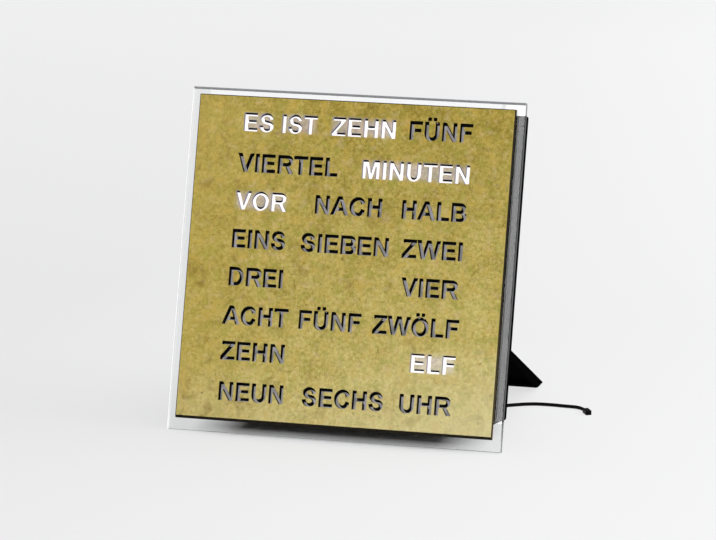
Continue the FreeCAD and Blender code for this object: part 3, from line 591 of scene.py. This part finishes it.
def leadCurve():
    total = coil["layers"] * coil["turns"] + (coil["layers"] - 1) * 0.5
    steps = round(total * coil["points"])
    wound = [coilPoint(total * n / steps) for n in range(steps, -1, -1)]
    points = lead["run"] + wound + lead["tail"]
    curve = bpy.data.curves.new("lead", "CURVE")
    curve.dimensions = "3D"
    curve.bevel_depth = lead["diameter"] / 2
    curve.bevel_resolution = 5
    curve.resolution_u = 4
    curve.use_fill_caps = True
    spline = curve.splines.new("NURBS")
    spline.points.add(len(points) - 1)
    for knot, point in zip(spline.points, points):
        knot.co = (*point, 1.0)
    spline.order_u = 3
    spline.use_endpoint_u = True
    return curve


jacket = skinned("leadJacket", (0.002, 0.002, 0.0022), (0.005, 0.005, 0.0052), 0.5, 1800.0, 0.00002, specular=0.08)
leadPiece = bpy.data.objects.new("lead", leadCurve())
scene.collection.objects.link(leadPiece)
leadPiece.data.materials.append(jacket)
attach(leadPiece, "clock")
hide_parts("lead_run", "lead_coil", "lead_tail")
print("camera and lead in place")


# Face: the words are cut right through the metal
face = {"half": 109.0, "low": 8.0, "high": 226.0, "thick": 3.0, "edge": 0.55, "lowerEdge": 1.3, "bolder": 0.18}


# The blank of the face, its front edges broken and the lower one broken wider, so that the dark edge finish there
# paints the shadow line under the face
def faceBlank():
    blank = bmesh.new()
    bmesh.ops.create_cube(blank, size=1)
    tall = face["high"] - face["low"]
    bmesh.ops.scale(blank, vec=(2 * face["half"] * mm, face["thick"] * mm, tall * mm), verts=blank.verts)
    bmesh.ops.translate(blank, vec=(0, face["thick"] * mm / 2, (face["low"] + tall / 2) * mm), verts=blank.verts)

    def frontEdges(lower):
        front = [e for e in blank.edges if all(v.co.y < 0.01 * mm for v in e.verts)]
        return [e for e in front if all(v.co.z < (face["low"] + 0.01) * mm for v in e.verts) == lower]

    for lower, width in ((True, face["lowerEdge"]), (False, face["edge"])):
        bmesh.ops.bevel(blank, geom=frontEdges(lower), offset=width * mm, affect="EDGES", segments=1, profile=0.5, material=-1)
    mesh = bpy.data.meshes.new("faceBlank")
    blank.to_mesh(mesh)
    blank.free()
    return mesh


plate = cutBy(faceBlank(), letterCutter(-1.0, face["thick"] + 1.0, (0.0, 0.0, face["bolder"])))
facePlate = newPiece("facePlate", plate, agedBrass(), replaces=["front_plate"])
# Every face but the front takes the dark edge finish, with its painted shade along the lower edge
plate.materials.append(darkEdge())
for polygon in plate.polygons:
    polygon.material_index = 0 if abs(polygon.normal.y) > 0.99 else 1
plate.transform(seated)

# Film behind the glass, with its own windows for the words. The windows sit lower than the cut words and to one side,
# so that black film shows along the top and one side of each letter: painted shade in the unlit words, the film's own
# edge in the lit ones
film = {"half": 100.8, "front": 7.0, "rear": 7.3, "low": 18.65, "high": 218.6, "unlit": (-0.5, -1.5, -0.15),
        "lit": (-1.1, -0.9, 0.1)}
filmSheet = sheetMesh(-film["half"], film["half"], film["front"], film["rear"], film["low"], film["high"])
filmSheet = cutBy(filmSheet, letterCutter(film["front"] - 0.5, film["rear"] + 0.5, film["unlit"], film["lit"]))
filmSheet.transform(seated)
newPiece("maskFilm", filmSheet, blackFilm(), replaces=["light_mask"])
print("face and film cut")


# A merged copy of a CAD node with its edges softened; round walls are shaded smooth
def softMesh(node, width, segments=2):
    shape = bmesh.new()
    shape.from_mesh(nodes[node].data)
    bmesh.ops.remove_doubles(shape, verts=shape.verts, dist=1e-6)
    bmesh.ops.dissolve_limit(shape, angle_limit=math.radians(2), verts=shape.verts, edges=shape.edges)
    sharp = [e for e in shape.edges if len(e.link_faces) == 2 and e.calc_face_angle(0) > math.radians(35)]
    bmesh.ops.bevel(shape, geom=sharp, offset=width * mm, affect="EDGES", segments=segments, profile=0.5, material=-1,
                    clamp_overlap=True)
    mesh = bpy.data.meshes.new(node)
    shape.to_mesh(mesh)
    shape.free()
    return mesh


def shaded(mesh, angle):
    for polygon in mesh.polygons:
        polygon.use_smooth = True
    mesh.set_sharp_from_angle(angle=math.radians(angle))
    return mesh


# Large flat faces keep their own direction, so that only the softened edges catch the light
def evenly(piece):
    normals = piece.modifiers.new("normals", "WEIGHTED_NORMAL")
    normals.weight = 100
    normals.keep_sharp = True
    return piece


def softened(node, name, material, width, body="clock", segments=2):
    mesh = shaded(softMesh(node, width, segments), 50.0)
    return evenly(newPiece(name, mesh, material, body, [node]))


# One cross for each screw, each turned a little further, as driven screws are
def crossCutter(spots, face, wide, reach, deep):
    cross = bmesh.new()
    bmesh.ops.create_cube(cross, size=1)
    bmesh.ops.scale(cross, vec=(wide * mm, 2 * deep * mm, wide * mm), verts=cross.verts)
    cross.normal_update()
    sides = [f for f in cross.faces if abs(f.normal.y) < 0.5]
    for arm in bmesh.ops.extrude_discrete_faces(cross, faces=sides)["faces"]:
        bmesh.ops.translate(cross, vec=arm.normal * reach * mm, verts=arm.verts)
    bmesh.ops.scale(cross, vec=(0.6, 1, 0.6), verts=[v for v in cross.verts if v.co.y < 0])
    one = bpy.data.meshes.new("cross")
    cross.to_mesh(one)
    cross.free()
    cutter = bmesh.new()
    for n, (x, z) in enumerate(spots):
        turned = one.copy()
        turned.transform(Matrix.Translation((x * mm, face * mm, z * mm)) @ Matrix.Rotation(math.radians(23 + 37 * n), 4, "Y"))
        cutter.from_mesh(turned)
    mesh = bpy.data.meshes.new("crosses")
    cutter.to_mesh(mesh)
    cutter.free()
    return mesh


def crossScrews(node, name, material, rim, spots, face, wide, reach, deep):
    screws = softMesh(node, rim, 3)
    screws.transform(seated.inverted())
    screws = cutBy(screws, crossCutter(spots, face, wide, reach, deep))
    screws.transform(seated)
    return evenly(newPiece(name, shaded(screws, 40.0), material, replaces=[node]))


# A body turned from its side outline, each point how far back and how far from the axis, about the jack's axis
jackAxis = (0.052, 0.0425)


def turnedBody(outline, steps=48):
    body = bmesh.new()
    chain = [body.verts.new((jackAxis[0], back * mm, jackAxis[1] + out * mm)) for back, out in outline]
    edges = [body.edges.new(pair) for pair in zip(chain, chain[1:])]
    bmesh.ops.spin(body, geom=chain + edges, cent=(jackAxis[0], 0, jackAxis[1]), axis=(0, 1, 0), angle=2 * math.pi,
                   steps=steps, use_merge=True)
    bmesh.ops.remove_doubles(body, verts=body.verts, dist=1e-6)
    bmesh.ops.recalc_face_normals(body, faces=body.faces)
    mesh = bpy.data.meshes.new("turned")
    body.to_mesh(mesh)
    body.free()
    mesh.transform(seated)
    return shaded(mesh, 32.0)


def dress(material, *names):
    for name in names:
        nodes[name].data.materials.clear()
        nodes[name].data.materials.append(material)


dress(paneGlass(), "glass_panel")
dress(opalSheet(), "diffuser_sheet")
dress(deadBlack("powderCoat", 0.1020, 1400.0, 0.00004), "housing")
dress(skinned("tapeFoam", (0.01, 0.01, 0.01), (0.02, 0.02, 0.02), 0.9, 2500.0, 0.00008), "glass_tape")
dress(skinned("gridPlastic", (0.02, 0.02, 0.02), (0.03, 0.03, 0.03), 0.6, 1200.0, 0.00003), "light_grid")
dress(boardLaminate(), "led_board", "controller_board")
dress(skinned("ledBody", (0.72, 0.70, 0.55), (0.86, 0.84, 0.7), 0.35, 900.0, 0.00001), "leds")
zinc = brushedSteel("zincScrew", (0.52, 0.53, 0.55), (1.0, 1.0, 1.0))
dress(zinc, "board_screws")
coverSpots = [(x, z) for z in (33.2, 217.1) for x in (-94.05, 0.0, 94.05)]
bracketSpots = [(side * 62.0 + out, 61.35) for side in (-1, 1) for out in (-5.0, 5.0)]
crossScrews("cover_screws", "coverScrews", zinc, 0.2, coverSpots, 60.0, 0.7, 1.15, 0.9)
crossScrews("bracket_screws", "bracketScrews", zinc, 0.5, bracketSpots, 62.8, 0.6, 0.95, 0.7)
dress(skinned("chipEpoxy", (0.02, 0.02, 0.022), (0.035, 0.035, 0.037), 0.5, 3000.0, 0.00001), "controller_chip", "driver_chips")
dress(brushedSteel("bareSteel", (0.66, 0.66, 0.67), (0.05, 1.0, 1.0)), "clock_crystal", "coin_cell")
dress(skinned("holderPlastic", (0.03, 0.03, 0.03), (0.045, 0.045, 0.045), 0.45, 1500.0, 0.00002), "cell_holder", "board_standoffs", "board_link", "tact_switches")
softened("hinge_pins", "hingePins", brushedSteel("pinSteel", (0.66, 0.66, 0.67), (0.05, 1.0, 1.0)), 0.3)
grained = skinned("grainedPlastic", (0.008, 0.008, 0.0085), (0.014, 0.014, 0.0145), 0.55, 1100.0, 0.00006, specular=0.3)
softened("back_cover", "backCover", grained, 0.3)
softened("dc_jack", "powerJack", grained, 0.15)
softened("stand_flap", "standFlap", deadBlack("standPlastic", 0.0970, 1100.0, 0.00006), 0.5, "stand")
rubber = skinned("padRubber", (0.02, 0.02, 0.02), (0.032, 0.032, 0.032), 0.8, 1800.0, 0.00005)
softened("foot_pads", "footPads", rubber, 0.2, "stand")
softened("cover_bumpers", "coverBumpers", rubber, 0.5, segments=3)
paint = skinned("bracketPaint", (0.02, 0.02, 0.02), (0.03, 0.03, 0.03), 0.4, 1300.0, 0.00003, metallic=0.2)
softened("hinge_bracket_left", "bracketLeft", paint, 0.25)
softened("hinge_bracket_right", "bracketRight", paint, 0.25)

# Set buttons: caps with a hollow for the fingertip
cap = {"crown": 61.4, "ball": 9.0, "hollow": 0.35, "z": 46.0,
       "at": {"hour": -62.0, "minute": -48.0, "dim": -34.0}}
capPlastic = skinned("buttonPlastic", (0.03, 0.03, 0.032), (0.045, 0.045, 0.047), 0.38, 1600.0, 0.00002, specular=0.4)
for which, x in cap["at"].items():
    ball = bmesh.new()
    bmesh.ops.create_uvsphere(ball, u_segments=96, v_segments=64, radius=cap["ball"] * mm)
    centre = (x * mm, (cap["crown"] - cap["hollow"] + cap["ball"]) * mm, cap["z"] * mm)
    bmesh.ops.translate(ball, vec=centre, verts=ball.verts)
    ballMesh = bpy.data.meshes.new("ball")
    ball.to_mesh(ballMesh)
    ball.free()
    capMesh = softMesh("button_" + which, 0.1)
    capMesh.transform(seated.inverted())
    capMesh = cutBy(capMesh, ballMesh)
    capMesh.transform(seated)
    evenly(newPiece(which + "Cap", shaded(capMesh, 50.0), capPlastic, which + "_button", ["button_" + which]))

# Barrel plug with a ringed grip, and its ringed strain relief
moulded = skinned("plugPlastic", (0.014, 0.014, 0.014), (0.022, 0.022, 0.022), 0.4, 1500.0, 0.00003, specular=0.35)
plug = {"front": 59.6, "out": 4.6, "long": 15.0, "groove": 0.4, "rings": 5, "ringPitch": 1.7}
relief = {"front": 74.6, "root": 3.0, "tip": 1.7, "long": 20.0, "groove": 0.55, "rings": 7}


def plugOutline():
    front, out = plug["front"], plug["out"]
    points = [(front, 0.0), (front, 1.15), (front - 8.5, 1.15), (front - 8.5, 2.5), (front - 8.3, 2.7), (front, 2.7),
              (front, out - 0.25), (front + 0.25, out), (front + 2.6, out)]
    for n in range(plug["rings"]):
        at = front + 3.0 + n * plug["ringPitch"]
        points += [(at, out - 0.1), (at + 0.2, out - plug["groove"]), (at + 0.7, out - plug["groove"]), (at + 0.9, out - 0.1)]
    rear = front + plug["long"]
    return points + [(rear - 2.6, out), (rear - 0.8, out), (rear - 0.3, out - 0.22), (rear, out - 0.8), (rear, 0.0)]


def reliefOutline():
    front, tip = relief["front"], relief["front"] + relief["long"]
    points = [(front, 0.0), (front, relief["root"])]
    step = (relief["long"] - 3.0) / relief["rings"]
    for n in range(relief["rings"]):
        for along, sunk in ((0.45, 0.0), (0.5, 1.0), (0.95, 1.0), (1.0, 0.0)):
            at = 1.0 + (n + along) * step
            out = relief["root"] + (relief["tip"] - relief["root"]) * at / relief["long"]
            points.append((front + at, out - relief["groove"] * sunk * (1 - 0.5 * at / relief["long"])))
    return points + [(tip - 0.3, relief["tip"]), (tip, relief["tip"] - 0.25), (tip, 0.0)]


plugPiece = newPiece("barrelPlug", turnedBody(plugOutline()), moulded, replaces=["dc_plug"])
reliefPiece = newPiece("strainRelief", turnedBody(reliefOutline()), moulded, replaces=["plug_relief"])

# Connector at the lead's far end: a small two-way housing with sockets and contact windows
connector = {"long": 8.0, "wide": 4.0, "high": 3.2, "edge": 0.35, "way": (0.0024, -0.0042)}


def connectorMesh():
    low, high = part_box("end_connector")
    middle = Vector([(a + b) / 2 for a, b in zip(low, high)])
    turn = Matrix.Translation(middle) @ Matrix.Rotation(math.atan2(connector["way"][1], connector["way"][0]), 4, "Z")
    half = Vector((connector["long"], connector["wide"], connector["high"])) / 2
    holes = bmesh.new()
    for side in (-0.95, 0.95):
        for spot, sizes in (((half.x, side, -0.2), (5.0, 1.0, 1.0)), ((0.4, side, half.z), (1.6, 0.8, 1.0))):
            made = bmesh.ops.create_cube(holes, size=1)["verts"]
            bmesh.ops.scale(holes, vec=Vector(sizes) * mm, verts=made)
            bmesh.ops.translate(holes, vec=Vector(spot) * mm, verts=made)
    cutter = bpy.data.meshes.new("holes")
    holes.to_mesh(cutter)
    holes.free()
    shell = sheetMesh(-half.x, half.x, -half.y, half.y, -half.z, half.z, connector["edge"])
    shell = cutBy(shell, cutter)
    shell.transform(turn)
    return shaded(shell, 50.0)


connectorLook = skinned("connectorPlastic", (0.002, 0.002, 0.0022), (0.005, 0.005, 0.0052), 0.5, 1800.0, 0.00002, specular=0.08)
connectorPiece = evenly(newPiece("leadConnector", connectorMesh(), connectorLook, replaces=["end_connector"]))
tieLook = skinned("tieFabric", (0.012, 0.012, 0.012), (0.03, 0.03, 0.03), 0.95, 2600.0, 0.00015)
tiePiece = softened("lead_tie", "leadTie", tieLook, 0.15)
print("nodes dressed, fittings made")

# Floor and soft studio light
floorMesh = bmesh.new()
bmesh.ops.create_grid(floorMesh, x_segments=1, y_segments=1, size=14)
floorData = bpy.data.meshes.new("floor")
floorMesh.to_mesh(floorData)
floorMesh.free()
floor = bpy.data.objects.new("floor", floorData)
scene.collection.objects.link(floor)


# Pale paper floor with painted light: away from the clock it glows, brighter towards the right and the back, so that it
# shows almost no shadow; under the clock the glow fades out and only the lamps light it
def floorPaper():
    look = Look("floorPaper")
    x, y, z = look.axes(look.place())
    under = ((0.102 - x.size()) / 0.035).clamped() * ((y + 0.11) / 0.035).clamped() * ((0.03 - y) / 0.05).clamped()
    # Painted light: the paper glows everywhere but under the clock
    lit = (1.0 - under) * 0.8
    paintedFloorGlow = 0.80 + ((x + 0.3) / 0.7).clamped() * 0.14 + ((y - 0.3) / 1.2).clamped() * 0.09
    shade = look.mix(lit, (0.895, 0.897, 0.905), (0.0, 0.0, 0.0))
    return look.finish(baseColor=shade, roughness=0.95, specular=0.0, glow=look.mix(lit * paintedFloorGlow, (0.0, 0.0, 0.0), (1.0, 1.0, 1.005)),
                       glowStrength=1.0)


floor.data.materials.append(floorPaper())

light = {"front": 0.05, "sky": 0.2, "backdrop": 0.88, "overhead": 1.62, "beside": 3.6, "right": 2.4, "mirrored": 3.3,
         "top": 1.8, "left": 3.0}
world = bpy.data.worlds.new("studio")
scene.world = world
world.use_nodes = True
worldTree = world.node_tree
sky = next(n for n in worldTree.nodes if n.type == "BACKGROUND")
sky.inputs["Color"].default_value = (1.0, 1.0, 1.0, 1.0)


# The room is darker in front, where the glass mirrors it; straight behind the floor it is a pale backdrop
def roomLight():
    way = worldTree.nodes.new("ShaderNodeTexCoord")
    split = worldTree.nodes.new("ShaderNodeSeparateXYZ")
    fade = worldTree.nodes.new("ShaderNodeMapRange")
    path = worldTree.nodes.new("ShaderNodeLightPath")
    pick = worldTree.nodes.new("ShaderNodeMix")
    for socket, value in (("From Min", -1.0), ("From Max", 0.1), ("To Min", light["front"]), ("To Max", light["sky"])):
        fade.inputs[socket].default_value = value
    worldTree.links.new(way.outputs["Generated"], split.inputs[0])
    worldTree.links.new(split.outputs["Y"], fade.inputs["Value"])
    worldTree.links.new(path.outputs["Is Camera Ray"], pick.inputs[0])
    worldTree.links.new(fade.outputs[0], pick.inputs[2])
    pick.inputs[3].default_value = light["backdrop"]
    worldTree.links.new(pick.outputs[0], sky.inputs["Strength"])


roomLight()


def softbox(name, place, aim, wide, high, glow, tilt=0.0):
    lamp = bpy.data.lights.new(name, "AREA")
    lamp.shape = "RECTANGLE"
    lamp.size = wide
    lamp.size_y = high
    lamp.energy = glow * math.pi * wide * high
    holder = bpy.data.objects.new(name, lamp)
    holder.location = place
    turn = (Vector(aim) - Vector(place)).to_track_quat("-Z", "Y").to_matrix() @ Matrix.Rotation(math.radians(tilt), 3, "Z")
    holder.rotation_euler = turn.to_euler()
    scene.collection.objects.link(holder)


# Upright panels in front, each from left to right and from low to high. The rim of the glass mirrors three of them: the
# first two lean as the right rim's mirror image does, and the gap between them makes the dark line along that rim
panels = {"atRim": (-0.2650, -0.2428, 0.462, 0.835, light["mirrored"]), "atRight": (-0.2390, 0.2610, 0.462, 1.0, light["right"]),
          "atTop": (-0.60, -0.28, 0.80, 1.15, light["top"]), "atLeft": (-1.15, -0.64, 0.45, 1.1, light["left"])}
rimLean = 3.8
panelPlane = -1.5
softbox("overheadBox", (2.4, 1.1, 4.6), (1.9, 0.8, 0.0), 7.6, 8.0, light["overhead"])
softbox("besideBox", (4.6, 0.5, 2.2), (0.15, 0.1, 0.0), 3.0, 3.0, light["beside"])
for name, (x0, x1, z0, z1, glow) in panels.items():
    middle = ((x0 + x1) / 2, panelPlane, (z0 + z1) / 2)
    tilt = rimLean if name in ("atRim", "atRight") else 0.0
    softbox(name, middle, (middle[0], 0.0, middle[2]), x1 - x0, z1 - z0, glow, tilt)
scene.view_settings.view_transform = "Standard"
scene.view_settings.look = "None"
print("stage and light ready")
